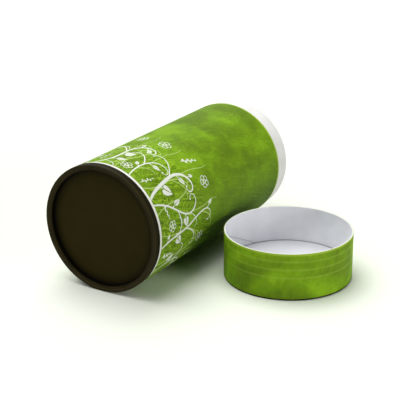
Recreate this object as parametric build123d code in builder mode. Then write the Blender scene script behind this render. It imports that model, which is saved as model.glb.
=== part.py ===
"""A cylindrical gift tube box of wound paperboard, opened: the tube lies on its side, the lid stands beside it.

Lengths are in millimetres. The origin is on the table, under the middle of the tube and lid together.
+X runs along the tube from its base to its open neck, and +Z is up.
"""

import os

from build123d import *

# Sizes that the tube and the lid share
outer_diameter = 85.0
wrap_paper = 0.2
floor_paper = 0.3
disc_board = 1.6
lip_width = 3.5

# Sizes of the tube, along it from the base
base_rim_length = 5.2
base_rim_proud = 0.25
base_recess_depth = 4.2
bare_board_line = 2.5
printed_length = 153.8
neck_length = 14.0
neck_step = 1.2
neck_card = 0.45
neck_edge_share = 0.45
inner_tube_wall = 0.9
inner_liner_paper = 0.2
base_lip_round = 0.8
base_lip_land = 0.75
base_lip_slope = 1.2

# Sizes of the lid, up from its crown
lid_height = 32.0
lid_neck_clearance = 0.1
lid_liner_card = 0.45
crown_rim_length = 1.2
crown_lip_round_share = 0.75
crown_recess_depth = 5.0

# Where the lid stands: clear of the tube, and along it from the middle
lid_tube_gap = 5.2
lid_offset_along = -1.8

# Radii that follow from the sizes above, from the outside inwards
outer_radius = outer_diameter / 2
board_radius = outer_radius - wrap_paper
neck_radius = outer_radius - neck_step
inner_tube_radius = neck_radius - neck_card
inner_tube_bore = inner_tube_radius - inner_tube_wall
tube_bore = inner_tube_bore - inner_liner_paper
lid_bore = neck_radius + lid_neck_clearance
lid_board_bore = lid_bore + lid_liner_card
recess_radius = outer_radius - lip_width
base_rim_radius = outer_radius + base_rim_proud
base_crest_radius = base_rim_radius - base_lip_round - base_lip_land

# Stations from the plane of the base's lip, and from the table up for the lid's disc and floor
print_start = base_rim_length + bare_board_line
shoulder = print_start + printed_length
mouth = shoulder + neck_length
base_disc_face = base_recess_depth + disc_board
tube_floor_top = base_disc_face + floor_paper
crown_disc_face = crown_recess_depth + disc_board
lid_floor_top = crown_disc_face + floor_paper

# Axes of the two halves, each drawn on a plane whose x runs along it and whose y is the radius
between_axes = outer_diameter + lid_tube_gap
tube_side = (between_axes - base_rim_proud) / 2
lid_side = between_axes - tube_side
tube_plane = Plane(origin=(-mouth / 2, tube_side, base_rim_radius), x_dir=(1, 0, 0), z_dir=(0, -1, 0))
lid_plane = Plane(origin=(lid_offset_along, -lid_side, 0), x_dir=(0, 0, 1), z_dir=(0, 1, 0))
tube_axis = Axis(tube_plane.origin, tube_plane.x_dir)
lid_axis = Axis(lid_plane.origin, lid_plane.x_dir)


def band(start, end, inner_radius, rim_radius):
    """Draw the half section of a ring or disc between two stations and two radii."""
    with Locations((start, inner_radius)):
        Rectangle(end - start, rim_radius - inner_radius, align=(Align.MIN, Align.MIN))


# Inner tube: the wound board that stands on the floor's margin and carries the neck
with BuildPart() as inner_tube:
    with BuildSketch(tube_plane):
        band(tube_floor_top, mouth, inner_tube_bore, inner_tube_radius)
    revolve(axis=tube_axis)

# Inner liner: the smooth white paper inside the inner tube
with BuildPart() as inner_liner:
    with BuildSketch(tube_plane):
        band(tube_floor_top, mouth, tube_bore, inner_tube_bore)
    revolve(axis=tube_axis)

# Neck facing: the white card round the inner tube's end, which the lid slides over
with BuildPart() as neck_facing:
    with BuildSketch(tube_plane):
        band(shoulder, mouth, inner_tube_radius, neck_radius)
    revolve(axis=tube_axis)
    mouth_edges = neck_facing.edges().group_by(Axis.X)[-1].sort_by(SortBy.LENGTH)
    fillet(mouth_edges[-1], radius=neck_card * neck_edge_share)

# Outer tube: the white board glued over the inner one, whose end is the shoulder that the lid meets
with BuildPart() as outer_tube:
    with BuildSketch(tube_plane):
        band(base_rim_length, shoulder, inner_tube_radius, board_radius)
    revolve(axis=tube_axis)

# Body wrap: the printed paper round the outer tube, which leaves a line of bare board at the base
with BuildPart() as body_wrap:
    with BuildSketch(tube_plane):
        band(print_start, shoulder, board_radius, outer_radius)
    revolve(axis=tube_axis)

# Base rim: the dark rolled lip, a little wider than the print, that the outer tube butts on. Its face slopes
# inwards from the crest, and a step of it sits inside the outer tube.
with BuildPart() as base_rim:
    with BuildSketch(tube_plane):
        with BuildLine():
            Polyline(
                (0, base_crest_radius),
                (0, base_rim_radius),
                (base_rim_length, base_rim_radius),
                (base_rim_length, inner_tube_radius),
                (base_disc_face, inner_tube_radius),
                (base_disc_face, recess_radius),
                (base_lip_slope, recess_radius),
                close=True,
            )
        make_face()
    revolve(axis=tube_axis)
    lip_edges = base_rim.edges().group_by(Axis.X)[0].sort_by(SortBy.LENGTH)
    fillet(lip_edges[-1], radius=base_lip_round)

# Base disc: the dark board set back inside the rim
with BuildPart() as base_disc:
    with BuildSketch(tube_plane):
        band(base_recess_depth, base_disc_face, 0, recess_radius)
    revolve(axis=tube_axis)

# Tube floor: the white paper over the base disc and the rim's step
with BuildPart() as tube_floor:
    with BuildSketch(tube_plane):
        band(base_disc_face, tube_floor_top, 0, inner_tube_radius)
    revolve(axis=tube_axis)

# Lid tube: the wound board wall of the lid
with BuildPart() as lid_tube:
    with BuildSketch(lid_plane):
        band(crown_rim_length, lid_height, lid_board_bore, board_radius)
    revolve(axis=lid_axis)

# Lid liner: the white card inside the lid, which slides over the neck
with BuildPart() as lid_liner:
    with BuildSketch(lid_plane):
        band(lid_floor_top, lid_height, lid_bore, lid_board_bore)
    revolve(axis=lid_axis)

# Lid wrap: the printed paper round the lid
with BuildPart() as lid_wrap:
    with BuildSketch(lid_plane):
        band(crown_rim_length, lid_height, board_radius, outer_radius)
    revolve(axis=lid_axis)

# Crown rim: the dark rolled lip that the lid tube butts on, with a step inside the lid tube
with BuildPart() as crown_rim:
    with BuildSketch(lid_plane):
        band(0, crown_rim_length, recess_radius, outer_radius)
        band(crown_rim_length, crown_disc_face, recess_radius, lid_board_bore)
    revolve(axis=lid_axis)
    fillet(crown_rim.edges().group_by(Axis.Z)[0], radius=crown_rim_length * crown_lip_round_share)

# Crown disc: the dark board set back inside the crown rim
with BuildPart() as crown_disc:
    with BuildSketch(lid_plane):
        band(crown_recess_depth, crown_disc_face, 0, recess_radius)
    revolve(axis=lid_axis)

# Lid floor: the white paper over the crown disc and the rim's step, under the liner
with BuildPart() as lid_floor:
    with BuildSketch(lid_plane):
        band(crown_disc_face, lid_floor_top, 0, lid_board_bore)
    revolve(axis=lid_axis)

pieces = {
    "inner_tube": inner_tube,
    "inner_liner": inner_liner,
    "neck_facing": neck_facing,
    "outer_tube": outer_tube,
    "body_wrap": body_wrap,
    "base_rim": base_rim,
    "base_disc": base_disc,
    "tube_floor": tube_floor,
    "lid_tube": lid_tube,
    "lid_liner": lid_liner,
    "lid_wrap": lid_wrap,
    "crown_rim": crown_rim,
    "crown_disc": crown_disc,
    "lid_floor": lid_floor,
}

os.makedirs("parts", exist_ok=True)
for name, piece in pieces.items():
    piece.part.label = name
    export_step(piece.part, f"parts/{name}.step")
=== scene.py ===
"""An opened gift tube box: the printed tube lies on its side, and its lid stands open side up beside it.

Lengths are in millimetres unless a comment says otherwise, and MM turns them into metres. Stations run
along the tube from the plane of its base's lip, and up the lid from the table.
"""

import math
import random

import bmesh
import bpy
from mathutils import Matrix, Vector
from mathutils.geometry import delaunay_2d_cdt


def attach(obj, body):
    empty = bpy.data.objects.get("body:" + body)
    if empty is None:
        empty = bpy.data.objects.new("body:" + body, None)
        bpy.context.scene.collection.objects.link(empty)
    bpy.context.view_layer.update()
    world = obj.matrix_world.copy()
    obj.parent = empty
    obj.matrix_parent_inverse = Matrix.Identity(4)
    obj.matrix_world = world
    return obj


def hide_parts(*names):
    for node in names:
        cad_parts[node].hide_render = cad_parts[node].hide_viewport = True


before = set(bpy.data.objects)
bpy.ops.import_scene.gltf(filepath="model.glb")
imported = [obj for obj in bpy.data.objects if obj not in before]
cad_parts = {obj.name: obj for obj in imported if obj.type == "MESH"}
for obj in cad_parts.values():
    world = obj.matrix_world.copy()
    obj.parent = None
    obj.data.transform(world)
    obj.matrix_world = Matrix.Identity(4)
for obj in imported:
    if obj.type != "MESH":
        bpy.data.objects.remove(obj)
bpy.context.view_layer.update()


# Inner tube. Three plies of white board, wound in a spiral and glued, and cut square at the mouth. It carries
# the neck, stands on the floor's margin, and shows only its cut end, where the plies are fine rings of fibre.

MM = 0.001
SHARP = math.radians(32)


class Axis:
    """The axis that round pieces are turned about. Angle 0 is towards up, and grows towards along x up.

    seam is the angle, on the side away from the camera, where the papers' ends meet.
    """

    def __init__(self, start, along, up, seam):
        self.start = Vector(start)
        self.along = Vector(along)
        self.up = Vector(up)
        self.side = self.along.cross(self.up)
        self.seam = math.radians(seam)

    def point(self, station, radius, angle):
        """A place in metres."""
        out = self.up * math.cos(angle) + self.side * math.sin(angle)
        return (self.start + self.along * station + out * radius) * MM

    def places(self, finish):
        """Station, angle in radians from the seam on, and radius of the place that a finish is seen at."""
        sockets = {"Vector": finish.seen(), "Vector_001": self.start}
        away = finish.node("VectorMath", {"operation": "SUBTRACT"}, sockets)
        shares = []
        for direction in (self.along, self.up, self.side):
            sockets = {"Vector": away, "Vector_001": direction}
            shares.append(finish.node("VectorMath", {"operation": "DOT_PRODUCT"}, sockets, "Value"))
        station, up, side = shares
        turn = ((side.math("ARCTAN2", up) - self.seam) / math.tau).math("FRACT")
        return station, turn * math.tau + self.seam, (up * up + side * side).math("SQRT")


class Signal:
    """A socket that carries a value, so that sums written with it become Math nodes."""

    def __init__(self, finish, socket):
        self.finish = finish
        self.socket = socket

    def math(self, operation, other=None, swapped=False):
        """One Math node. The other value comes second, or first where the two are swapped."""
        values = [self] if other is None else [self, other]
        if swapped:
            values.reverse()
        return self.finish.node("Math", {"operation": operation}, dict(zip(("Value", "Value_001"), values)))

    def __add__(self, other):
        return self.math("ADD", other)

    __radd__ = __add__

    def __sub__(self, other):
        return self.math("SUBTRACT", other)

    def __rsub__(self, other):
        return self.math("SUBTRACT", other, swapped=True)

    def __mul__(self, other):
        return self.math("MULTIPLY", other)

    __rmul__ = __mul__

    def __truediv__(self, other):
        return self.math("DIVIDE", other)

    def __rtruediv__(self, other):
        return self.math("DIVIDE", other, swapped=True)

    def rise(self, low, high):
        """0 below low, 1 above high, and a soft step between them. high may be the lower one."""
        sockets = {"Value": self, "From Min": low, "From Max": high}
        return self.finish.node("MapRange", {"interpolation_type": "SMOOTHSTEP"}, sockets)


class Finish:
    """The nodes of a new material, or of the world's light. node() adds any node that they need."""

    def __init__(self, name, kind="materials"):
        self.owner = getattr(bpy.data, kind).new(name)
        self.owner.use_nodes = True
        self.tree = self.owner.node_tree
        self.tree.nodes.clear()

    def node(self, kind, settings=None, sockets=None, out=0):
        """Add a node: its settings come first, then the values or links of its sockets.

        out picks the result that is given back, and is None for a node that has none.
        """
        made = self.tree.nodes.new("ShaderNode" + kind)
        for setting, value in (settings or {}).items():
            if setting == "stops":
                for stop in range(len(value) - 2):
                    made.color_ramp.elements.new(0.5)
                for stop, (place, tint) in zip(made.color_ramp.elements, value):
                    stop.position = place
                    stop.color = tint
            else:
                setattr(made, setting, value)
        for key, value in (sockets or {}).items():
            socket = next(s for s in made.inputs if s.identifier == key)
            if isinstance(value, Signal):
                self.tree.links.new(value.socket, socket)
            else:
                socket.default_value = value
        if out is None:
            return None
        if isinstance(out, int):
            return Signal(self, made.outputs[out])
        return Signal(self, next(s for s in made.outputs if s.identifier == out))

    def seen(self):
        """The place that is seen, in millimetres."""
        place = self.node("TexCoord", out="Object")
        return self.node("VectorMath", {"operation": "SCALE"}, {"Vector": place, "Scale": 1 / MM})

    def speckle(self, size, place=None, detail=2.0, rough=0.5):
        """Soft noise between 0 and 1, whose blots are about size millimetres wide."""
        place = place or self.seen()
        sockets = {"Vector": place, "Scale": 1 / size, "Detail": detail, "Roughness": rough}
        return self.node("TexNoise", None, sockets)

    def mixed(self, share, under, over):
        """Two colours mixed by a share between 0 and 1."""
        sockets = {"Factor_Float": share, "A_Color": under, "B_Color": over}
        return self.node("Mix", {"data_type": "RGBA"}, sockets, "Result_Color")

    def place(self, along, across, third=0.0):
        """A place to read a pattern at, in millimetres of the flat paper."""
        return self.node("CombineXYZ", None, {"X": along, "Y": across, "Z": third})

    def surface(self, colour, rough, height, depth, shine):
        """Close the nodes with paper's shader. height is a relief between 0 and 1, depth millimetres deep."""
        relief = self.node("Bump", None, {"Strength": 1.0, "Distance": depth * MM, "Height": height})
        sockets = {"Base Color": colour, "Roughness": rough, "Specular IOR Level": shine, "Normal": relief}
        return self.closed("Material", self.node("BsdfPrincipled", None, sockets, "BSDF"))

    def closed(self, kind, shader):
        """Join a shader to the output, which ends the nodes."""
        self.node("Output" + kind, None, {"Surface": shader}, None)
        return self.owner


def shade(red, green, blue, light=1.0):
    """A colour written as it shows on a screen, from 0 to 255, and taken light times as bright."""
    parts = []
    for part in (red, green, blue):
        part = part * light / 255
        parts.append(part / 12.92 if part <= 0.04045 else ((part + 0.055) / 1.055) ** 2.4)
    return (*parts, 1.0)


def rounded(*corners, parts=4):
    """A closed outline from (station, radius, rounding) corners."""
    outline = []
    for index, (station, radius, rounding) in enumerate(corners):
        here = Vector((station, radius))
        if not rounding:
            outline.append((station, radius))
            continue
        before = Vector(corners[index - 1][:2]) - here
        after = Vector(corners[(index + 1) % len(corners)][:2]) - here
        first = here + before.normalized() * rounding
        last = here + after.normalized() * rounding
        for part in range(parts + 1):
            share = part / parts
            point = first * (1 - share) ** 2 + here * 2 * share * (1 - share) + last * share**2
            outline.append(tuple(point))
    return outline


def all_round(count=240):
    """Even angles for the points of a ring."""
    return [math.tau * turn / count for turn in range(count)]


def turned(name, axis, outline, finishes, angles=None, twist=0.0, relief=None, finish_of=None):
    """Turn a closed half section into a ring or disc.

    relief(station, radius, angle) moves points of the section, twist leans the rows of points by so many
    radians per millimetre, and finish_of(station, radius) picks one of the finishes.
    """
    angles = angles or all_round()
    mesh = bmesh.new()
    rings = []
    for station, radius in outline:
        ring = []
        for angle in angles if radius > 1e-6 else angles[:1]:
            moved = relief(station, radius, angle) if relief else (station, radius)
            ring.append(mesh.verts.new(axis.point(*moved, angle + twist * station)))
        rings.append(ring)
    pairs = zip(rings, rings[1:] + rings[:1], outline, outline[1:] + outline[:1])
    for ring, following, here, there in pairs:
        if len(ring) == len(following) == 1:
            continue
        for turn in range(len(angles)):
            corners = [ring[turn % len(ring)], ring[(turn + 1) % len(ring)]]
            corners += [following[(turn + 1) % len(following)], following[turn % len(following)]]
            face = mesh.faces.new(list(dict.fromkeys(corners)))
            if finish_of:
                face.material_index = finish_of((here[0] + there[0]) / 2, (here[1] + there[1]) / 2)
    bmesh.ops.recalc_face_normals(mesh, faces=mesh.faces)
    return finished(name, mesh, finishes)


def finished(name, mesh, finishes):
    """Make the piece from its mesh, smooth except along its sharp edges."""
    data = bpy.data.meshes.new(name)
    mesh.to_mesh(data)
    mesh.free()
    data.shade_smooth()
    data.set_sharp_from_angle(angle=SHARP)
    for finish in finishes:
        data.materials.append(finish)
    piece = bpy.data.objects.new(name, data)
    bpy.context.scene.collection.objects.link(piece)
    return piece


def board(name, axis, inner, outer, plies):
    """White board: smooth faces, and cut ends whose plies show as darker glue lines between fibres."""
    finish = Finish(name)
    station, angle, radius = axis.places(finish)
    ply = (radius - inner) / ((outer - inner) / plies)
    from_line = (ply.math("FRACT") - 0.5).math("ABSOLUTE") * 2
    wander = finish.speckle(1.5, detail=3.0) * 0.3
    glue = (from_line + wander).rise(0.92, 1.12)
    fibre = finish.speckle(0.18, finish.place(station * 4, angle * outer * 0.35, radius * 3), 3.0, 0.6)
    cloud = finish.speckle(6.0)
    pale = finish.mixed(cloud.rise(0.3, 0.7), shade(247, 247, 235), shade(252, 252, 243))
    shown = finish.mixed(fibre.rise(0.35, 0.75) * 0.5, pale, shade(232, 230, 212))
    shown = finish.mixed(glue * 0.45, shown, shade(190, 182, 156))
    return finish.surface(shown, 0.75 + fibre * 0.2, fibre - glue * 0.5, 0.06, 0.3)


TUBE = Axis((-87.75, 44.975, 42.75), (1, 0, 0), (0, 0, 1), -150)
TUBE_MOUTH = 175.5
TUBE_FLOOR = 6.1
INNER_BOARD = (39.95, 40.85)
PLY = 0.3
CUT_ROUND = 0.08
NEAR_END = 0.2
BLADE_DIP = 0.02
BLADE_WAVE = 0.008

inner_board = board("white_board_inner_tube", TUBE, *INNER_BOARD, 3)
ply_waves = random.Random(11)
ply_turns = [(ply_waves.randint(3, 40), ply_waves.uniform(0, math.tau)) for wave in range(9)]


def cut_end(station, radius, angle):
    """The blade leaves the mouth a few hundredths of a millimetre uneven."""
    if station < TUBE_MOUTH - NEAR_END:
        return station, radius
    waves = abs(sum(math.sin(count * angle + start) for count, start in ply_turns))
    across = 1 + math.sin((radius - INNER_BOARD[0]) * 20)
    return station - BLADE_DIP - BLADE_WAVE * waves * across, radius


section = rounded(
    (TUBE_FLOOR, INNER_BOARD[0], 0),
    (TUBE_MOUTH, INNER_BOARD[0], CUT_ROUND),
    (TUBE_MOUTH, INNER_BOARD[0] + PLY, 0),
    (TUBE_MOUTH, INNER_BOARD[0] + 2 * PLY, 0),
    (TUBE_MOUTH, INNER_BOARD[1], CUT_ROUND),
    (TUBE_FLOOR, INNER_BOARD[1], 0),
    parts=2,
)
inner_tube = turned("wound_inner_tube", TUBE, section, [inner_board], relief=cut_end)
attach(inner_tube, "tube")
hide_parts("inner_tube")


# Inner liner. A strip of smooth white paper wound into the inner tube before the board, so that its one edge
# laps over the last turn in a long, flat spiral. It's cut off with the tube at the mouth.

LINER_BORE = 39.75
LINER_STRIP = 120.0
LINER_LAP = 3.0
LINER_LAP_HEIGHT = 0.09
LINER_END = TUBE_MOUTH - 0.05
LINER_TINT = (238, 239, 242)

# How far glued pieces reach into what carries them, and how near to a face its points are looked for
HAIR = 0.01


def band(start, end, inner, outer):
    """The half section of a plain ring."""
    return [(start, inner), (end, inner), (end, outer), (start, outer)]


def divided(outline, longest):
    """The same outline with its long sides cut into shorter ones."""
    cut = []
    for (station, radius), (next_station, next_radius) in zip(outline, outline[1:] + outline[:1]):
        length = math.hypot(next_station - station, next_radius - radius)
        parts = max(1, math.ceil(length / longest - 1e-6))
        for part in range(parts):
            share = part / parts
            cut.append((station + (next_station - station) * share, radius + (next_radius - radius) * share))
    return cut


def lap_angles(seam, width, radius, turns):
    """Angles of the rows of points, closer at a lapped seam, whose loose edge is at seam."""
    reach = width / radius
    rows = [seam - 0.0006, seam, seam + reach * 0.35, seam + reach * 0.7, seam + reach]
    rows += [seam + reach + (math.tau - reach) * turn / turns for turn in range(1, turns)]
    return rows


def lap(angle, seam, width, radius):
    """How far the paper is lifted at a seam, from 1 at its loose edge to 0 where it lies flat."""
    past = (angle - seam) * radius / width
    return (1 - past) ** 2 * (1 + 2 * past) if 0 <= past < 1 else 0.0


def white_paper(name, axis, tint, strip, seam):
    """Smooth white lining paper with a faint grain, soft clouds, and a grey line of glue along its seam."""
    finish = Finish(name)
    station, angle, radius = axis.places(finish)
    grain = finish.speckle(0.35, detail=3.0, rough=0.6)
    cloud = finish.speckle(14.0, detail=1.0)
    turn = ((angle - seam) / math.tau - station / strip).math("FRACT")
    fibre = finish.speckle(1.0, finish.place(station, turn * 12.0, radius), 4.0, 0.7)
    from_seam = (turn - 0.5).math("ABSOLUTE") - 0.5
    shown = finish.mixed(cloud.rise(0.25, 0.75), shade(*tint, 0.965), shade(*tint))
    shown = finish.mixed(from_seam.rise(-0.03, 0.0) * 0.25, shown, shade(*tint, 0.9))
    shown = finish.mixed(from_seam.rise(-0.0042, -0.0015) * 0.42, shown, shade(*tint, 0.62))
    shown = finish.mixed(fibre.rise(0.55, 0.8) * 0.12, shown, shade(*tint, 0.88))
    return finish.surface(shown, 0.62 + grain * 0.15, grain + fibre * 0.5, 0.012, 0.4)


liner_paper = white_paper("white_liner_paper", TUBE, LINER_TINT, LINER_STRIP, 0.0)
liner_angles = lap_angles(0.0, LINER_LAP, LINER_BORE, 140)


def lapped(face, near, seam, width, height):
    """Relief of a paper's face and what is near it at its seam. A height below 0 lifts it inwards."""

    def relief(station, radius, angle):
        if abs(radius - face) > near:
            return station, radius
        return station, radius + height * lap(angle, seam, width, face)

    return relief


inner_liner = turned(
    "spiral_paper_liner",
    TUBE,
    divided(band(TUBE_FLOOR, LINER_END, LINER_BORE, INNER_BOARD[0] + HAIR), 3.0),
    [liner_paper],
    liner_angles,
    math.tau / LINER_STRIP,
    lapped(LINER_BORE, HAIR, 0.0, LINER_LAP, -LINER_LAP_HEIGHT),
)
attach(inner_liner, "tube")
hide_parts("inner_liner")


# Neck facing. A band of smooth white card glued round the last 14 mm of the inner tube, which the lid slides
# over. Its outer edge is pressed round at the mouth, and its two ends butt in one straight joint.

SHOULDER = 161.5
NECK_RADIUS = 41.3
NECK_ROUND = 0.22
NECK_JOINT = math.radians(-118)
NECK_JOINT_DEPTH = 0.12
NECK_JOINT_REACH = 0.2
NECK_TURNS = 236
NECK_START = SHOULDER - 0.02


def satin_card(name):
    """Bright white card with a satin face, very faint cloudy shade, and rub marks along the tube."""
    finish = Finish(name)
    station, angle, _ = TUBE.places(finish)
    grain = finish.speckle(0.4, detail=3.0)
    rub = finish.speckle(1.0, finish.place(station * 0.12, angle * 30, 0.0), 3.0, 0.6)
    cloud = finish.speckle(9.0, detail=2.0)
    shown = finish.mixed(cloud.rise(0.2, 0.8), shade(241, 240, 236), shade(248, 248, 245))
    shown = finish.mixed(rub.rise(0.6, 0.85) * 0.15, shown, shade(226, 224, 216))
    return finish.surface(shown, 0.42 + rub * 0.18, grain, 0.01, 0.12)


def butt_joint(station, radius, angle):
    """A fine groove where the ends of the neck's card meet."""
    if radius < NECK_RADIUS - 0.3:
        return station, radius
    past = abs(angle - NECK_JOINT) * NECK_RADIUS
    return station, radius - NECK_JOINT_DEPTH * max(0.0, 1 - past / NECK_JOINT_REACH)


neck_angles = [NECK_JOINT + side * NECK_JOINT_REACH / NECK_RADIUS for side in (-1, 0, 1)]
beside_joint = neck_angles[-1]
other_way_round = math.tau - 2 * NECK_JOINT_REACH / NECK_RADIUS
neck_angles += [beside_joint + other_way_round * turn / NECK_TURNS for turn in range(1, NECK_TURNS)]
section = rounded(
    (NECK_START, INNER_BOARD[1] - HAIR, 0),
    (TUBE_MOUTH, INNER_BOARD[1] - HAIR, 0),
    (TUBE_MOUTH, NECK_RADIUS, NECK_ROUND),
    (NECK_START, NECK_RADIUS, 0),
)
neck_card = satin_card("satin_neck_card")
neck_facing = turned("white_neck_card", TUBE, section, [neck_card], neck_angles, relief=butt_joint)
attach(neck_facing, "tube")
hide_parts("neck_facing")


# Outer tube. Four plies of white board glued over the inner tube. Its end is the shoulder that the lid meets,
# and a line of it stays bare between the base's lip and the print.

BASE_RIM = 5.2
BOARD_RADIUS = 42.3
BARE_LINE_RADIUS = 42.42
PRINT_START = 7.7

section = [
    (BASE_RIM, INNER_BOARD[1] - HAIR),
    (SHOULDER, INNER_BOARD[1] - HAIR),
    *((SHOULDER, NECK_RADIUS + step) for step in (0.25, 0.5, 0.75)),
    (SHOULDER, BOARD_RADIUS),
    (PRINT_START - 0.02, BOARD_RADIUS),
    (PRINT_START - 0.12, BARE_LINE_RADIUS),
    (BASE_RIM, BARE_LINE_RADIUS),
]
outer_board = board("white_board_outer_tube", TUBE, NECK_RADIUS, BOARD_RADIUS, 3)
outer_tube = turned("wound_outer_tube", TUBE, section, [outer_board], all_round(200))
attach(outer_tube, "tube")
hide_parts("outer_tube")


# Body wrap. Printed art paper glued round the outer tube, lapped by 6 mm in one straight seam low on the side
# away from the lid. White vines grow over mottled green from its edge at the base, with pale green tendrils
# behind them.

PRINT_LENGTH = 153.8
OUTER_RADIUS = 42.5
ROUND = math.tau * OUTER_RADIUS
SAME_PLACE = 1e-4
WRAP_SEAM = TUBE.seam
WRAP_LAP = 6.0
WRAP_LAP_HEIGHT = 0.14
STRIPS = 180
NO_AREA = 1e-5
VINE_STEP = 0.5
OFF_EDGE = -0.5
VINE_TIP = 1.4
PETAL_LINE = 0.48
BLOSSOM_DOT = 0.7
TENDRIL_WIDTHS = (0.8, 0.4)
SPRIG_LEAF = 2.4
SPRIG_BERRY = 1.3
SPRIG_BEND = 2.0

# Outlines of half a leaf and half a petal, as the four points of a curve, with the length as 1
LEAVES = {
    "lance": ((0.0, 0.0), (0.25, 0.42), (0.7, 0.3), (1.0, 0.0)),
    "heart": ((0.08, 0.0), (-0.32, 0.5), (0.45, 0.75), (1.0, 0.0)),
    "bud": ((0.0, 0.0), (0.1, 0.55), (0.85, 0.5), (1.0, 0.0)),
}
PETAL = ((0.2, 0.0), (0.3, 0.5), (1.1, 0.5), (0.95, 0.0))

# Curls that grow from a vine: how far they wind up, their widths, the berry at their tip, and their ink
CURLS = {
    "coil": (118, 0.85, 0.4, 1.1, "white"),
    "hair": (128, 0.5, 0.3, 0.0, "white"),
    "pale": (100, 0.65, 0.4, 0.0, "pale"),
}
printed = {"pale": [], "white": []}


def walk(start, heading, bends, wide, narrow):
    """The middle line of a vine: (along, around, heading, half width) at every half millimetre.

    Each bend is its length, and its curl at either end in degrees per millimetre. The vine is widest after a
    third of its length, and narrow at its end.
    """
    along, around = start
    turn = math.radians(heading)
    total = sum(bend[0] for bend in bends)
    line = []
    gone = 0.0
    for length, curl_from, curl_to in bends:
        parts = max(1, round(length / VINE_STEP))
        for part in range(parts):
            swell = math.sin(math.pi * (0.25 + 0.75 * gone / total))
            line.append((along, around, turn, (narrow + (wide - narrow) * swell) / 2))
            along += math.cos(turn) * length / parts
            around += math.sin(turn) * length / parts
            turn += math.radians(curl_from + (curl_to - curl_from) * part / parts) * length / parts
            gone += length / parts
    line.append((along, around, turn, narrow / 2))
    return line


def ribbon(line, ink="white"):
    """Print a vine as short four-sided pieces, which join up on the paper."""
    rails = []
    for along, around, turn, half in line:
        over, out = -math.sin(turn) * half, math.cos(turn) * half
        rails.append(((along + over, around + out), (along - over, around - out)))
    for (left, right), (next_left, next_right) in zip(rails, rails[1:]):
        printed[ink].append([left, right, next_right, next_left])


def dot(along, around, size):
    """Print a round berry."""
    half = size / 2
    corners = [(along + half * math.cos(turn), around + half * math.sin(turn)) for turn in all_round(12)]
    printed["white"].append(corners)


def curve(points, parts):
    """Points along a cubic curve."""
    found = []
    for t in (part / parts for part in range(parts + 1)):
        shares = ((1 - t) ** 3, 3 * t * (1 - t) ** 2, 3 * t * t * (1 - t), t**3)
        found.append(tuple(sum(share * point[i] for share, point in zip(shares, points)) for i in (0, 1)))
    return found


def laid(outline, at, heading, size, bend=0.0):
    """Lay an outline of length 1 on the paper, bent sideways towards its tip."""
    cos, sin = math.cos(heading) * size, math.sin(heading) * size
    bent = [(u, v + bend * u * u) for u, v in outline]
    return [(at[0] + u * cos - v * sin, at[1] + u * sin + v * cos) for u, v in bent]


def leaf(at, heading, size, kind, bend=0.0, slit=0.13):
    """Print a leaf as two halves with the bare midrib between them. The left half is the smaller one."""
    for side, share in ((1, 1.0), (-1, 0.86)):
        grown = size * share if slit else size
        edge = [(u, side * max(v, slit / 2 * (1 - u))) for u, v in curve(LEAVES[kind], 9)]
        rib = [(u, side * slit / 2 * (1 - u)) for u in (0.75, 0.5, 0.25)] if slit else []
        printed["white"].append(laid(edge + rib, at, heading, grown, bend))


def blossom(at, size, turn):
    """Print an open flower: the outlines of five round petals, and a ring of dots in its middle."""
    side = curve(PETAL, 9)
    petal = side + [(u, -v) for u, v in reversed(side[:-1])]
    for index in range(5):
        heading = math.radians(turn + 72 * index)
        points = laid(petal, at, heading, size / 2)
        line = []
        for before, point, after in zip([points[0]] + points, points, points[1:] + [points[-1]]):
            turning = math.atan2(after[1] - before[1], after[0] - before[0])
            line.append((*point, turning, PETAL_LINE / 2))
        ribbon(line)
        dot(*laid([(0.34, 0.0)], at, heading, size / 2)[0], BLOSSOM_DOT)


def curl(start, heading, length, side, wind, wide, narrow, berry, ink):
    """Print a tendril that winds up at its end."""
    wind = side * wind / length
    bends = ((length * 0.45, wind * 0.2, wind * 0.6), (length * 0.55, wind * 0.8, wind * 3.2))
    line = walk(start, heading, bends, wide, narrow)
    ribbon(line, ink)
    if berry:
        dot(*line[-1][:2], berry)


def sprig(start, heading, length, count, size, wind, berries):
    """Print a thin stalk with small leaves or berries on either side, and one at its tip."""
    line = walk(start, heading, ((length, wind, -wind),), 0.5, 0.3)
    ribbon(line)
    for index in range(count):
        along, around, turn = line[int((index + 1) / count * (len(line) - 1))][:3]
        lean = 0 if index == count - 1 else 48 * (1 if index % 2 else -1)
        out = turn + math.radians(lean)
        grown = size * (1 - 0.35 * index / count)
        if berries:
            dot(along + math.cos(out) * grown, around + math.sin(out) * grown, grown)
        else:
            leaf((along, around), out, grown, "bud", slit=0.0)


def grow(line, share, kind, lean, size):
    """Let one thing grow from a vine. lean is its angle to the vine in degrees."""
    along, around, turn = line[int(share * (len(line) - 1))][:3]
    side = 1 if lean > 0 else -1
    start, out = (along, around), math.degrees(turn) + lean
    if kind in LEAVES:
        stalk = walk(start, out - side * 18, ((1.8 + size * 0.18, side * 7, side * 7),), 0.7, 0.45)
        ribbon(stalk)
        leaf(stalk[-1][:2], stalk[-1][2], size, kind, -0.14 * side)
    elif kind in CURLS:
        curl(start, out, size, side, *CURLS[kind])
    elif kind == "long":
        bends = ((size * 0.5, side * 0.5, side * -1.5), (size * 0.5, side * -2, side * 6))
        ribbon(walk(start, out, bends, 0.6, 0.3), "pale")
    else:
        sprig(start, out, size, 6, size * 0.17, side * 3, False)


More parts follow.
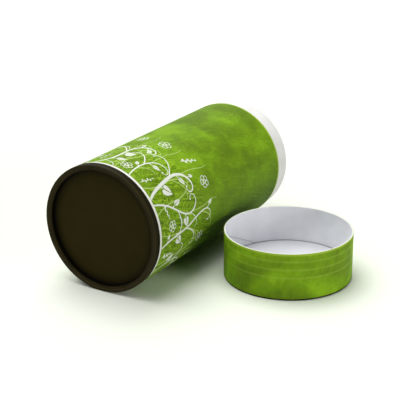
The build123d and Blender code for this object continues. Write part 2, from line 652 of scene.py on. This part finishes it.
# Each vine: where round the tube it leaves the paper's edge, its heading, its bends, its widths, and what
# grows from it as (share of its length, kind, lean, size)
VINES = (
    (98, -34, ((16, 2.0, 1.6), (20, 0.6, -1.6), (18, -3, -7), (12, -11, -26)), 1.1, 0.4, (
        (0.16, "hair", -52, 12), (0.2, "lance", 58, 6.0), (0.33, "heart", -56, 7.5),
        (0.42, "coil", 34, 22), (0.5, "bud", -60, 3.6), (0.36, "pale", 22, 30), (0.6, "long", 14, 30),
    )),
    (103.5, 38, ((14, -1.0, -3.0), (16, -2.5, 2.0), (16, 3.0, 6), (15, 8, 25)), 1.5, 0.45, (
        (0.12, "hair", 64, 15), (0.2, "lance", 56, 7.5), (0.36, "heart", 60, 7.0),
        (0.46, "coil", -34, 28), (0.66, "bud", -60, 3.6), (0.72, "lance", 66, 5.5),
        (0.54, "long", -12, 32),
    )),
    (131, -20, ((12, 1.8, 0.8), (14, 1.0, 3.0), (12, 4.5, 9.0), (9, 12, 30)), 1.0, 0.4, (
        (0.3, "bud", -56, 3.8), (0.42, "coil", -30, 20), (0.5, "lance", 62, 6.5),
        (0.26, "pale", 30, 15), (0.56, "long", -24, 34),
    )),
    (152, -30, ((14, 1.8, 1.0), (18, -0.4, 1.6), (18, 2.5, 6.5), (14, 9, 25)), 2.3, 0.45, (
        (0.24, "heart", 58, 8.5), (0.46, "coil", -30, 25), (0.56, "lance", 60, 7.0),
        (0.62, "long", -22, 30), (0.4, "pale", 36, 24), (0.72, "bud", -62, 3.8),
    )),
    (156, 12, ((16, 1.0, 1.6), (16, 1.0, -2.0), (16, -4.0, -7.0), (12, -10, -27)), 1.3, 0.4, (
        (0.16, "sprig", 50, 9), (0.3, "lance", -54, 7.5), (0.4, "coil", 34, 19),
        (0.54, "heart", 60, 6.5), (0.64, "hair", 30, 16), (0.66, "long", 12, 32),
    )),
    (185, -12, ((14, -0.4, 1.2), (18, 0.6, -1.6), (20, -1.0, 2.4), (16, 4, 22)), 1.4, 0.4, (
        (0.1, "bud", -60, 3.6), (0.25, "heart", 56, 7.0), (0.42, "coil", 30, 22),
        (0.82, "lance", -62, 5.5), (0.72, "pale", 30, 22), (0.3, "hair", -40, 14),
    )),
    (206, -24, ((14, 1.6, 1.0), (14, 0.5, 3.6), (12, 6, 13), (7, 16, 30)), 1.1, 0.4, (
        (0.28, "heart", -56, 6.5), (0.46, "coil", -38, 16), (0.5, "lance", 62, 5.5), (0.4, "long", -4, 36),
    )),
)

# Each pale tendril: where it leaves the edge, its heading and its bends
TENDRILS = (
    (93, 16, ((20, 1.0, -0.6), (20, 1.2, 4.4), (14, 9, 25))),
    (112, 34, ((22, -1.6, -2.2), (20, 0.6, 4.6), (14, 9, 26))),
    (119, -8, ((22, 0.8, 1.8), (20, -1.6, -4.0), (14, -8, -24))),
    (143, 24, ((20, -0.8, -2.2), (22, 0.8, 4.5), (14, 8, 26))),
    (163, -22, ((22, 1.4, 1.0), (22, -1.2, -4.2), (14, -8, -25))),
    (176, 24, ((24, -1.2, -0.8), (22, 1.4, 4.6), (14, 9, 26))),
    (198, 6, ((20, -1.4, 0.4), (22, 1.4, -3.6), (14, -8, -26))),
)

# Each blossom: its place, size and turn
BLOSSOMS = (
    ((8, 123), 8.0, 10), ((53, 122), 9.0, 0), ((12.5, 174), 7.5, 20), ((58, 158), 8.5, 40),
    ((55, 103), 8.5, 30), ((5, 88), 7.0, 0), ((48, 194), 8.0, 15),
)

# Each sprig: its start, heading and length, how many leaves or berries it has, and whether they are berries
SPRIGS = (
    ((7, 102.5), 2, 11, 5, True), ((48, 139), 12, 13, 6, False), ((2, 139), 4, 11, 5, True),
    ((3, 193), 2, 10, 6, False), ((36, 206), 2, 12, 5, True),
)
for around, heading, bends in TENDRILS:
    ribbon(walk((OFF_EDGE, around), heading, bends, *TENDRIL_WIDTHS), "pale")
for around, heading, bends, wide, narrow, growths in VINES:
    vine = walk((OFF_EDGE, around), heading, bends, wide, narrow)
    ribbon(vine)
    dot(*vine[-1][:2], VINE_TIP)
    for growth in growths:
        grow(vine, *growth)
for at, size, turn in BLOSSOMS:
    blossom(at, size, turn)
for start, heading, length, count, berries in SPRIGS:
    sprig(start, heading, length, count, SPRIG_BERRY if berries else SPRIG_LEAF, SPRIG_BEND, berries)

# The vines fill half the paper's width. The other half holds their mirror image about MIRROR.
MIRROR = 78.0


def wrap_mesh():
    """Cut the flat paper along the outlines of its ink, and roll it round the tube.

    Its printed faces come first, and their number is given back with the mesh.
    """
    points = [Vector((0, 0)), Vector((PRINT_LENGTH, 0)), Vector((PRINT_LENGTH, ROUND)), Vector((0, ROUND))]
    faces = [[0, 1, 2, 3]]
    inks = ["paper"]
    edges = []
    for strip in range(1, STRIPS):
        around = ROUND * strip / STRIPS
        edges.append((len(points), len(points) + 1))
        points += [Vector((0, around)), Vector((PRINT_LENGTH, around))]
    for ink, outlines in printed.items():
        for outline in outlines:
            images = [outline, [(along, 2 * MIRROR - around) for along, around in outline]]
            images.append([(along, around + ROUND) for along, around in images[1]])
            for image in images:
                turning = sum(a[0] * b[1] - b[0] * a[1] for a, b in zip(image, image[1:] + image[:1]))
                if abs(turning) < NO_AREA:
                    continue
                faces.append(list(range(len(points), len(points) + len(image))))
                points += [Vector(corner) for corner in (image if turning > 0 else image[::-1])]
                inks.append(ink)
    flat, _, cut, _, _, sources = delaunay_2d_cdt(points, edges, faces, 1, SAME_PLACE, True)

    mesh = bmesh.new()
    spots = {}

    def spot(index):
        """The mesh's point for a point of the flat paper, rolled round the tube and lifted at the lap."""
        if index not in spots:
            along, around = flat[index]
            angle = WRAP_SEAM + around / OUTER_RADIUS
            lift = WRAP_LAP_HEIGHT * lap(angle, WRAP_SEAM, WRAP_LAP, OUTER_RADIUS)
            spots[index] = mesh.verts.new(TUBE.point(PRINT_START + along, OUTER_RADIUS + lift, angle))
        return spots[index]

    order = ("paper", "pale", "white")
    for corners, source in zip(cut, sources):
        found = {inks[index] for index in source}
        if "paper" not in found:
            continue
        face = mesh.faces.new([spot(index) for index in corners])
        face.material_index = max(order.index(ink) for ink in found)
    outer_faces = len(mesh.faces)

    inner = []
    for turn in all_round(STRIPS):
        ends = [TUBE.point(station, BOARD_RADIUS, WRAP_SEAM + turn) for station in (PRINT_START, SHOULDER)]
        inner.append([mesh.verts.new(end) for end in ends])
    for (low, high), (next_low, next_high) in zip(inner, inner[1:] + inner[:1]):
        mesh.faces.new((low, next_low, next_high, high))
    for end, along_end in ((0, 0.0), (1, PRINT_LENGTH)):
        edge = sorted((flat[i][1], i) for i in spots if abs(flat[i][0] - along_end) < SAME_PLACE)
        outside = [(around, spots[i]) for around, i in edge]
        inside = [(ROUND * strip / STRIPS, rail[end]) for strip, rail in enumerate(inner + inner[:1])]
        stitch(mesh, outside, inside)
        mesh.faces.new((outside[0][1], outside[-1][1], inside[0][1]))
    seam_rows = []
    for around_edge in (0.0, ROUND):
        row = sorted((flat[i][0], i) for i in spots if abs(flat[i][1] - around_edge) < SAME_PLACE)
        seam_rows.append([(along, spots[i]) for along, i in row])
    stitch(mesh, *seam_rows)
    bmesh.ops.recalc_face_normals(mesh, faces=mesh.faces)
    return mesh, outer_faces


def stitch(mesh, first, second):
    """Close the gap between two rows of points, each a list of (place along the row, point)."""
    left = right = 0
    while left < len(first) - 1 or right < len(second) - 1:
        on_second = left == len(first) - 1
        if not on_second and right < len(second) - 1:
            on_second = second[right + 1][0] < first[left + 1][0]
        if on_second:
            mesh.faces.new((first[left][1], second[right][1], second[right + 1][1]))
            right += 1
        else:
            mesh.faces.new((first[left][1], first[left + 1][1], second[right][1]))
            left += 1


# The print's greens, from its darkest clouds to its lightest
GREENS = ((0.0, (96, 126, 26)), (0.4, (110, 146, 26)), (0.75, (122, 163, 28)), (1.0, (137, 180, 33)))


def green_print(name, axis, cut, seed, blots, light, vine_reach=0.0, pinstripes=()):
    """Green print on art paper: soft clouds of olive and leaf green, with bright and dark brush strokes.

    cut is the station of the paper's edge, along which a bright line of painted highlight runs, seed picks
    the clouds, blots is their size, light raises the whole tone, vine_reach is how far along the strokes are
    strong and also turns on a painted shade low on the side towards the lid, and pinstripes are the stations
    of pale lines.
    """
    finish = Finish(name)
    station, angle, _ = axis.places(finish)
    around = (angle - axis.seam) * OUTER_RADIUS
    warp = finish.speckle(16.0, finish.place(station, around, seed + 40)) * 14
    cloud = finish.speckle(blots, finish.place(station + warp, around, seed), 2.0, 0.45)
    patch = finish.speckle(42.0, finish.place(station, around + warp, seed + 7), 1.0, 0.4)
    fine = finish.speckle(5.0, finish.place(station, around, seed + 20), 3.0, 0.6)
    tone = (cloud * 0.55 + patch * 0.3 + fine * 0.15).rise(0.36, 0.65)
    stops = [(place, shade(*tint, light)) for place, tint in GREENS]
    shown = finish.node("ValToRGB", {"stops": stops}, {"Fac": tone}, "Color")
    swirl = finish.speckle(9.0, finish.place(station, around, seed + 50)) * 11
    lean = station * 0.8 + around * 0.6
    across = around * 0.8 - station * 0.6
    stroke = finish.speckle(1.0, finish.place(lean * 0.22 + swirl, across * 0.6 - swirl, seed + 60), 3.0, 0.7)
    reach = 0.14
    if vine_reach:
        # Behind the vines the print is brighter and its strokes stronger, to a ragged edge
        printed_along = station - PRINT_START + (patch - 0.5) * 60
        reach = printed_along.rise(vine_reach + 14, vine_reach - 16) * 0.78 + 0.22
        shown = finish.mixed(reach * 0.3, shown, shade(132, 172, 30))
        # Beyond them a painted shade of the lid darkens it low on the side towards the lid
        low = (angle + (cloud - 0.5) * 0.5).rise(1.3, 2.0) * station.rise(35.0, 70.0)
        shown = finish.mixed(low * 0.65, shown, shade(46, 72, 4))
    shown = finish.mixed(stroke.rise(0.52, 0.64) * reach * 0.95, shown, shade(170, 209, 58))
    shown = finish.mixed(stroke.rise(0.48, 0.36) * reach * 0.9, shown, shade(66, 99, 10))
    for line in pinstripes:
        beside = (station - line).math("ABSOLUTE").rise(1.0, 0.2)
        shown = finish.mixed(beside * (0.18 + fine * 0.24), shown, shade(176, 206, 80))
    # A bright line of painted highlight along the paper's edge
    shown = finish.mixed(station.rise(cut - 1.7, cut - 0.9) * 0.8, shown, shade(180, 212, 70))
    grain = finish.speckle(0.3, detail=3.0, rough=0.6)
    shown = finish.mixed(grain.rise(0.5, 0.85) * 0.1, shown, shade(162, 196, 66))
    return finish.surface(shown, 0.46 + grain * 0.12, grain, 0.008, 0.06)


def opaque_ink(name, tint, grain_tint):
    """Opaque ink on the art paper, a little uneven where the paper's grain took it up."""
    finish = Finish(name)
    grain = finish.speckle(0.35, detail=3.0, rough=0.6)
    blot = finish.speckle(3.0, detail=2.0)
    shown = finish.mixed(blot.rise(0.45, 0.8) * 0.35, tint, grain_tint)
    shown = finish.mixed(grain.rise(0.5, 0.9) * 0.25, shown, grain_tint)
    return finish.surface(shown, 0.5 + grain * 0.12, grain, 0.008, 0.06)


green_wrap = green_print("green_vine_print", TUBE, SHOULDER, 3.0, 19.0, 1.0, 56.0)
white_ink = opaque_ink("white_vine_ink", shade(240, 243, 232), shade(214, 226, 190))
pale_ink = opaque_ink("pale_green_ink", shade(184, 211, 118), shade(160, 191, 84))
mesh, outer_faces = wrap_mesh()
body_wrap = finished("printed_body_wrap", mesh, [green_wrap, pale_ink, white_ink])


def corner_places(data, polygon):
    """The corners of a face, and where they are from the start of the tube's axis."""
    for corner in polygon.loop_indices:
        yield corner, data.vertices[data.loops[corner].vertex_index].co / MM - TUBE.start


def face_the_axis(data, printed_faces):
    """Give the printed faces the normals of the round tube, so that their small triangles don't show."""
    normals = []
    for polygon in data.polygons:
        for corner, out in corner_places(data, polygon):
            out -= TUBE.along * out.dot(TUBE.along)
            normals.append(out.normalized() if polygon.index < printed_faces else polygon.normal.copy())
    data.normals_split_custom_set(normals)


def flat_map(data, printed_faces):
    """Lay the printed side out as the flat paper, in the piece's map of places.

    The other faces lie in a low strip beside it.
    """
    layer = data.uv_layers.new(name="OFBake")
    for polygon in data.polygons:
        middle = polygon.center / MM - TUBE.start
        toward = math.atan2(middle.dot(TUBE.side), middle.dot(TUBE.up))
        for corner, out in corner_places(data, polygon):
            angle = math.atan2(out.dot(TUBE.side), out.dot(TUBE.up))
            angle += math.tau * round((toward - angle) / math.tau)
            share = ((toward - WRAP_SEAM) % math.tau + angle - toward) / math.tau
            along = (out.dot(TUBE.along) - PRINT_START) / PRINT_LENGTH
            height = 0.05 + 0.94 * along
            if polygon.index >= printed_faces:
                radius = math.hypot(out.dot(TUBE.side), out.dot(TUBE.up))
                height = 0.002 + 0.03 * along + 0.02 * (radius - BOARD_RADIUS)
            layer.uv[corner].vector = (0.005 + 0.99 * share, height)


flat_map(body_wrap.data, outer_faces)
face_the_axis(body_wrap.data, outer_faces)
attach(body_wrap, "tube")
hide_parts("body_wrap")


# Base rim. Dark brown paper rolled over a ring of board, whose step is glued inside the outer tube. It stands
# a little out from the print. Behind its crest the paper slopes inwards to a fold and a second, finer roll.

RECESS_RADIUS = 39.0
RIM_RADIUS = 42.75
BASE_DISC_FACE = 5.8
CREST = 0.75
ROLL = 0.8
RIM_PLEATS_END = 1.5
FOLDS = (39.75, 40.7, 41.55, 42.45)
ROLL_TURNS = 480


def ripple(count, seed):
    """Uneven fine waves round a bead: a function from the angle to between about -1 and 1."""
    draw = random.Random(seed)
    terms = []
    for wave in range(8):
        terms.append((draw.randint(count // 3, count), draw.uniform(0, math.tau), draw.uniform(0.3, 1)))
    total = sum(term[2] for term in terms)

    def height(angle):
        return 2 * sum(size * math.sin(turns * angle + start) for turns, start, size in terms) / total

    return height


def pleated(end, seed):
    """Relief of a rolled lip: pleats across the roll, deepest on its crest, which run out at a station."""
    waves = ripple(150, seed)

    def relief(station, radius, angle):
        if station > end:
            return station, radius
        return station + (0.024 + 0.012 * waves(angle)) * (1 - station / end), radius

    return relief


def dark_paper(name, axis, tint, light, dull, shine, corner=None, folds=()):
    """Dark brown covering paper: close grain, rubbed a little lighter in cloudy patches, with pale fibres.

    Painted shade darkens it towards the radius of its corner, to nearly black at the corner itself. Folds are
    the radii of pale rings on its face, part wear and part painted highlight, and a folded paper has painted
    shade down its outer side and a nearly black painted shade down its inner one. dull is its roughness, and
    shine its gloss.
    """
    finish = Finish(name)
    station, angle, radius = axis.places(finish)
    grain = finish.speckle(0.32, detail=4.0, rough=0.65)
    cloud = finish.speckle(11.0, detail=2.0)
    fibre = finish.speckle(1.0, finish.place(station * 1.2, angle * 12, radius * 5), 4.0, 0.7)
    shown = finish.mixed(cloud.rise(0.3, 0.75) * 0.5, shade(*tint), shade(*light))
    shown = finish.mixed(fibre.rise(0.62, 0.8) * 0.25, shown, shade(*light, 1.5))
    deep_painted_shade = shade(4, 3, 1)
    # A corner gets painted shade towards its radius, nearly black in the corner itself
    if corner:
        shown = finish.mixed(radius.rise(corner - 6.5, corner) * 0.6, shown, shade(14, 11, 3))
        shown = finish.mixed(radius.rise(corner - 1.8, corner - 0.3) * 0.9, shown, deep_painted_shade)
    if folds:
        # Painted shade down the rim's side and its recess wall, nearly black on the wall
        shown = finish.mixed(station.rise(1.0, 2.4) * 0.75, shown, shade(24, 21, 11))
        recess_wall_shade = radius.rise(RECESS_RADIUS + 1.0, RECESS_RADIUS + 0.4) * station.rise(1.2, 2.2)
        shown = finish.mixed(recess_wall_shade * 0.95, shown, deep_painted_shade)
    # Pale rings at the folds, part wear and part painted highlight on the roll's ridges
    for fold in folds:
        wear_and_highlight = (radius - fold).math("ABSOLUTE").rise(0.3, 0.08) * station.rise(1.4, 0.9) * (0.3 + cloud)
        shown = finish.mixed(wear_and_highlight, shown, shade(66, 59, 37))
    return finish.surface(shown, dull + grain * 0.16, grain + fibre * 0.4, 0.02, shine)


section = rounded(
    (0.0, RIM_RADIUS, ROLL),
    (BASE_RIM, RIM_RADIUS, 0.12),
    (BASE_RIM, INNER_BOARD[1], 0),
    (BASE_DISC_FACE, INNER_BOARD[1], 0),
    (BASE_DISC_FACE, RECESS_RADIUS, 0),
    (2.6, RECESS_RADIUS, 0),
    (0.85, RECESS_RADIUS, 0.35),
    (0.75, 39.7, 0.25),
    (0.95, 40.1, 0.2),
    (0.0, RIM_RADIUS - ROLL - CREST, 0.5),
    parts=6,
)
# The rim's paper has painted shade down its side and recess wall, and pale rings of wear and painted
# highlight
rim_paper = dark_paper("dark_rim_paper", TUBE, (40, 35, 14), (54, 48, 23), 0.4, 0.05, folds=FOLDS)
pleats = pleated(RIM_PLEATS_END, 5)
base_rim = turned("rolled_base_rim", TUBE, section, [rim_paper], all_round(ROLL_TURNS), relief=pleats)
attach(base_rim, "tube")
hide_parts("base_rim")


# Base disc. A disc of board covered with the same dark paper, pressed about 4 mm into the rim and glued
# there. Its covering turns up a little where it meets the rim.

BASE_RECESS = 4.2
TURN_UP = 0.5


def pressed_disc(name, axis, recess, back):
    """A covered disc, hollow by a little in its middle, whose covering turns up at its edge."""
    outline = [
        (recess + 0.15, 0.0),
        (recess + 0.12, 20.0),
        (recess, 36.0),
        (recess, RECESS_RADIUS - 1.2),
        (recess - 0.12, RECESS_RADIUS - TURN_UP),
        (recess - 0.5, RECESS_RADIUS - 0.02),
        (back, RECESS_RADIUS - 0.02),
        (back, 0.0),
    ]
    # The disc's paper gets painted shade towards the rim's wall
    finish = dark_paper(name + "_paper", axis, (50, 44, 15), (55, 48, 19), 0.62, 0.05, RECESS_RADIUS)
    return turned(name, axis, divided(outline, 6.0), [finish])


base_disc = pressed_disc("dark_base_disc", TUBE, BASE_RECESS, BASE_DISC_FACE)
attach(base_disc, "tube")
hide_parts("base_disc")


# Tube floor. White lining paper glued over the disc's inner face and the rim's step. It shows only down the
# open tube.


def floor_paper(name, axis, tint, foot):
    """White lining paper of a floor: smooth, with a faint felt grain, and painted shade round its edge, where
    the wall stands.
    """
    finish = Finish(name)
    _, _, radius = axis.places(finish)
    grain = finish.speckle(0.35, detail=3.0, rough=0.6)
    felt = finish.speckle(2.2, detail=4.0, rough=0.65)
    cloud = finish.speckle(17.0, detail=1.0)
    shown = finish.mixed(cloud.rise(0.25, 0.75), shade(*tint, 0.975), shade(*tint))
    shown = finish.mixed(felt.rise(0.6, 0.85) * 0.12, shown, shade(*tint, 0.9))
    # Painted shade round its edge, where the wall meets it
    shown = finish.mixed(radius.rise(foot - 0.7, foot - 0.1) * 0.6, shown, shade(*tint, 0.55))
    return finish.surface(shown, 0.64 + grain * 0.14, grain + felt * 0.6, 0.012, 0.4)


def floor_disc(name, axis, back, front, reach, tint, foot):
    """The paper of a floor, which dips a little where it is glued down round its edge."""
    outline = [
        (back, 0.0),
        (back, reach),
        (front, reach),
        (front, 37.0),
        (front - 0.03, 34.0),
        (front, 28.0),
        (front, 0.0),
    ]
    return turned(name, axis, divided(outline, 6.0), [floor_paper(name + "_paper", axis, tint, foot)])


tube_floor = floor_disc(
    "white_tube_floor", TUBE, BASE_DISC_FACE, TUBE_FLOOR, INNER_BOARD[1] - HAIR, LINER_TINT, LINER_BORE
)
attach(tube_floor, "tube")
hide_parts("tube_floor")


# Lid tube. The lid's wall of wound white board, which is glued round the step of the crown rim. Its cut edge
# shows as the cream ring of the open rim.

LID = Axis((-1.8, -45.225, 0.0), (0, 0, 1), (1, 0, 0), 38)
LID_HEIGHT = 32.0
CROWN_RIM = 1.2
LID_BOARD_BORE = 41.85

edge_waves = ripple(60, 8)


def lid_edge(station, radius, angle):
    """The blade leaves the open rim a few hundredths of a millimetre uneven."""
    if station < LID_HEIGHT - NEAR_END:
        return station, radius
    return station - BLADE_DIP * (1 + abs(edge_waves(angle))), radius


section = band(CROWN_RIM, LID_HEIGHT, LID_BOARD_BORE, BOARD_RADIUS)
lid_board = board("white_board_lid_tube", LID, LID_BOARD_BORE, BOARD_RADIUS, 1)
lid_tube = turned("wound_lid_tube", LID, section, [lid_board], relief=lid_edge)
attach(lid_tube, "lid")
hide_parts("lid_tube")


# Lid liner. White card wound into the lid, which slides over the neck. Its spiral seam crosses the wall that
# faces the camera.

LID_BORE = 41.4
LID_FLOOR = 6.9
LINER_FOOT = 0.35
LID_TWIST = 2.88
LID_SEAM = math.radians(60) - math.radians(LID_TWIST) * LID_FLOOR
LID_STRIP = 360 / LID_TWIST
LINING_TOP = LID_HEIGHT - 0.03
lid_lining = white_paper("white_lid_card", LID, (241, 242, 246), LID_STRIP, LID_SEAM)
section = rounded(
    (LID_FLOOR + LINER_FOOT, LID_BORE, 0.1),
    (LINING_TOP, LID_BORE, 0.15),
    (LINING_TOP, LID_BOARD_BORE + HAIR, 0),
    (LID_FLOOR + LINER_FOOT, LID_BOARD_BORE + HAIR, 0),
)
lid_liner = turned(
    "spiral_lid_liner",
    LID,
    divided(section, 2.0),
    [lid_lining],
    lap_angles(LID_SEAM, LINER_LAP, LID_BORE, 200),
    math.tau / LID_STRIP,
    lapped(LID_BORE, HAIR, LID_SEAM, LINER_LAP, -LINER_LAP_HEIGHT),
)
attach(lid_liner, "lid")
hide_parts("lid_liner")


# Lid wrap. The same mottled green paper glued round the lid, with three pale lines printed below its open
# rim. It's lapped like the body's, on the side away from the camera, and its cut edge is paler.

PALE_LINES = [LID_HEIGHT - depth for depth in (5.4, 10.9, 16.5)]
WRAP_EDGE_ROUND = 0.06
# The lid's print is painted 1.14 times as light as the body's, as painted light on the lid's wall
lid_print = green_print("green_lid_print", LID, LID_HEIGHT, 31.0, 17.0, 1.14, pinstripes=PALE_LINES)
cut_paper = opaque_ink("cut_print_paper", shade(186, 200, 140), shade(150, 172, 84))


def print_or_cut(station, radius):
    """The paper's cut edge at the open rim has the second finish."""
    return 1 if station > LID_HEIGHT - 0.05 and radius < OUTER_RADIUS - 0.05 else 0


section = rounded(
    (CROWN_RIM, BOARD_RADIUS - HAIR, 0),
    (LID_HEIGHT, BOARD_RADIUS - HAIR, 0),
    (LID_HEIGHT, OUTER_RADIUS, WRAP_EDGE_ROUND),
    (CROWN_RIM, OUTER_RADIUS, 0),
    parts=2,
)
lid_wrap = turned(
    "printed_lid_wrap",
    LID,
    divided(section, 8.0),
    [lid_print, cut_paper],
    lap_angles(LID.seam, WRAP_LAP, OUTER_RADIUS, 236),
    relief=lapped(OUTER_RADIUS, WRAP_EDGE_ROUND + HAIR, LID.seam, WRAP_LAP, WRAP_LAP_HEIGHT),
    finish_of=print_or_cut,
)
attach(lid_wrap, "lid")
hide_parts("lid_wrap")


# Crown rim. The lid's own dark rolled lip, seen only as a thin dark line on the table, with its step glued
# inside the lid tube.

CROWN_BEAD = 0.9
CROWN_DISC_FACE = 6.6
section = rounded(
    (0.0, OUTER_RADIUS, CROWN_BEAD),
    (CROWN_RIM, OUTER_RADIUS, 0.06),
    (CROWN_RIM, LID_BOARD_BORE, 0),
    (CROWN_DISC_FACE, LID_BOARD_BORE, 0),
    (CROWN_DISC_FACE, RECESS_RADIUS, 0),
    (1.6, RECESS_RADIUS, 0),
    (0.0, RECESS_RADIUS, CROWN_BEAD),
    parts=6,
)
crown_paper = dark_paper("dark_crown_paper", LID, (39, 34, 14), (53, 47, 22), 0.4, 0.05)
pleats = pleated(CROWN_BEAD, 6)
crown_rim = turned("rolled_crown_rim", LID, section, [crown_paper], all_round(ROLL_TURNS), relief=pleats)
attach(crown_rim, "lid")
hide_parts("crown_rim")


# Crown disc. A second disc of board with dark paper round it, pressed into the crown rim and glued, as at the
# tube's base. It's hidden while the lid stands.

CROWN_RECESS = 5.0
crown_disc = pressed_disc("dark_crown_disc", LID, CROWN_RECESS, CROWN_DISC_FACE)
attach(crown_disc, "lid")
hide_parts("crown_disc")


# Lid floor. White lining paper glued over the crown disc and the rim's step. The liner's edge stands just
# above it.

# The lid floor's lining paper is given a darker tint than the tube's, as painted shade inside the lid
SHADED_LID_FLOOR_TINT = (217, 218, 223)
lid_floor = floor_disc(
    "white_lid_floor", LID, CROWN_DISC_FACE, LID_FLOOR, LID_BOARD_BORE - HAIR, SHADED_LID_FLOOR_TINT, LID_BORE
)
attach(lid_floor, "lid")
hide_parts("lid_floor")


# Table. A plain sheet far larger than the view, in metres. The camera sees it white, as the background. It's
# greyer in the light that it throws back, and between the two in reflections.

TABLE_SIDE = 12.0
TABLE_TOP = -2e-5
MIRRORED = 0.4


def background(finish):
    """How far the white background shows: fully to the camera, and partly in reflections."""
    seen = finish.node("LightPath", out="Is Camera Ray")
    return seen + finish.node("LightPath", out="Is Glossy Ray") * MIRRORED


sheet = bpy.data.meshes.new("table")
low, high = -TABLE_SIDE / 2, TABLE_SIDE / 2
corners = [(x, y, TABLE_TOP) for x, y in ((low, low), (high, low), (high, high), (low, high))]
sheet.from_pydata(corners, [], [(0, 1, 2, 3)])
table = bpy.data.objects.new("table", sheet)
bpy.context.scene.collection.objects.link(table)
white = Finish("white_table")
shown = white.mixed(background(white), (0.56, 0.56, 0.54, 1.0), (0.96, 1.0, 0.895, 1.0))
sheet.materials.append(white.closed("Material", white.node("BsdfDiffuse", None, {"Color": shown}, "BSDF")))


# Light. Five broad lamps, as soft as a studio's boxes: two from above and behind, one from each side, and one
# low in front. The sky gives hardly any light, but it's white to the camera and pale in reflections.

SKY_LIGHT = 0.02
sky = Finish("studio", "worlds")
dim, bright = (
    sky.node("Background", None, {"Color": (1.0, 1.0, 1.0, 1.0), "Strength": strength})
    for strength in (SKY_LIGHT, 1.0)
)
sockets = {"Fac": background(sky), "Shader": dim, "Shader_001": bright}
bpy.context.scene.world = sky.closed("World", sky.node("MixShader", None, sockets))

# Each lamp: its name, strength, broadness in degrees, and the direction that its light comes from
LAMPS = (
    ("behind", 0.85, 90, (-0.07, 0.42, 0.91)),
    ("above", 2.1, 56, (0.08, 0.29, 0.95)),
    ("right", 0.42, 50, (0.61, 0.43, 0.67)),
    ("left", 0.36, 56, (-0.66, 0.02, 0.75)),
    ("low_front", 1.2, 24, (-0.06, -0.983, 0.174)),
)
for name, strength, broad, come_from in LAMPS:
    lamp = bpy.data.lights.new(name, "SUN")
    lamp.energy = strength
    lamp.angle = math.radians(broad)
    lamp_object = bpy.data.objects.new(name, lamp)
    lamp_object.rotation_mode = "QUATERNION"
    lamp_object.rotation_quaternion = Vector(come_from).to_track_quat("Z", "Y")
    bpy.context.scene.collection.objects.link(lamp_object)


# Camera. It stands where the photograph was taken from. Its place is in metres, its lens in millimetres, and
# its turn, dip and roll are in degrees.

CAMERA_PLACE = Vector((-0.6523, -0.378, 0.3279))
CAMERA_TURN = math.radians(31.649)
CAMERA_DIP = math.radians(-20.698)
CAMERA_ROLL = math.radians(-0.339)
CAMERA_LENS = 107.74
CAMERA_SENSOR = 36.0
camera = bpy.data.objects.new("camera", bpy.data.cameras.new("camera"))
camera.data.lens = CAMERA_LENS
camera.data.sensor_width = CAMERA_SENSOR
camera.matrix_world = Matrix.Translation(CAMERA_PLACE)
for axis, angle in (("Z", CAMERA_TURN - math.pi / 2), ("X", CAMERA_DIP + math.pi / 2), ("Z", CAMERA_ROLL)):
    camera.matrix_world = camera.matrix_world @ Matrix.Rotation(angle, 4, axis)
bpy.context.scene.collection.objects.link(camera)
bpy.context.scene.camera = camera
bpy.context.scene.view_settings.view_transform = "Standard"
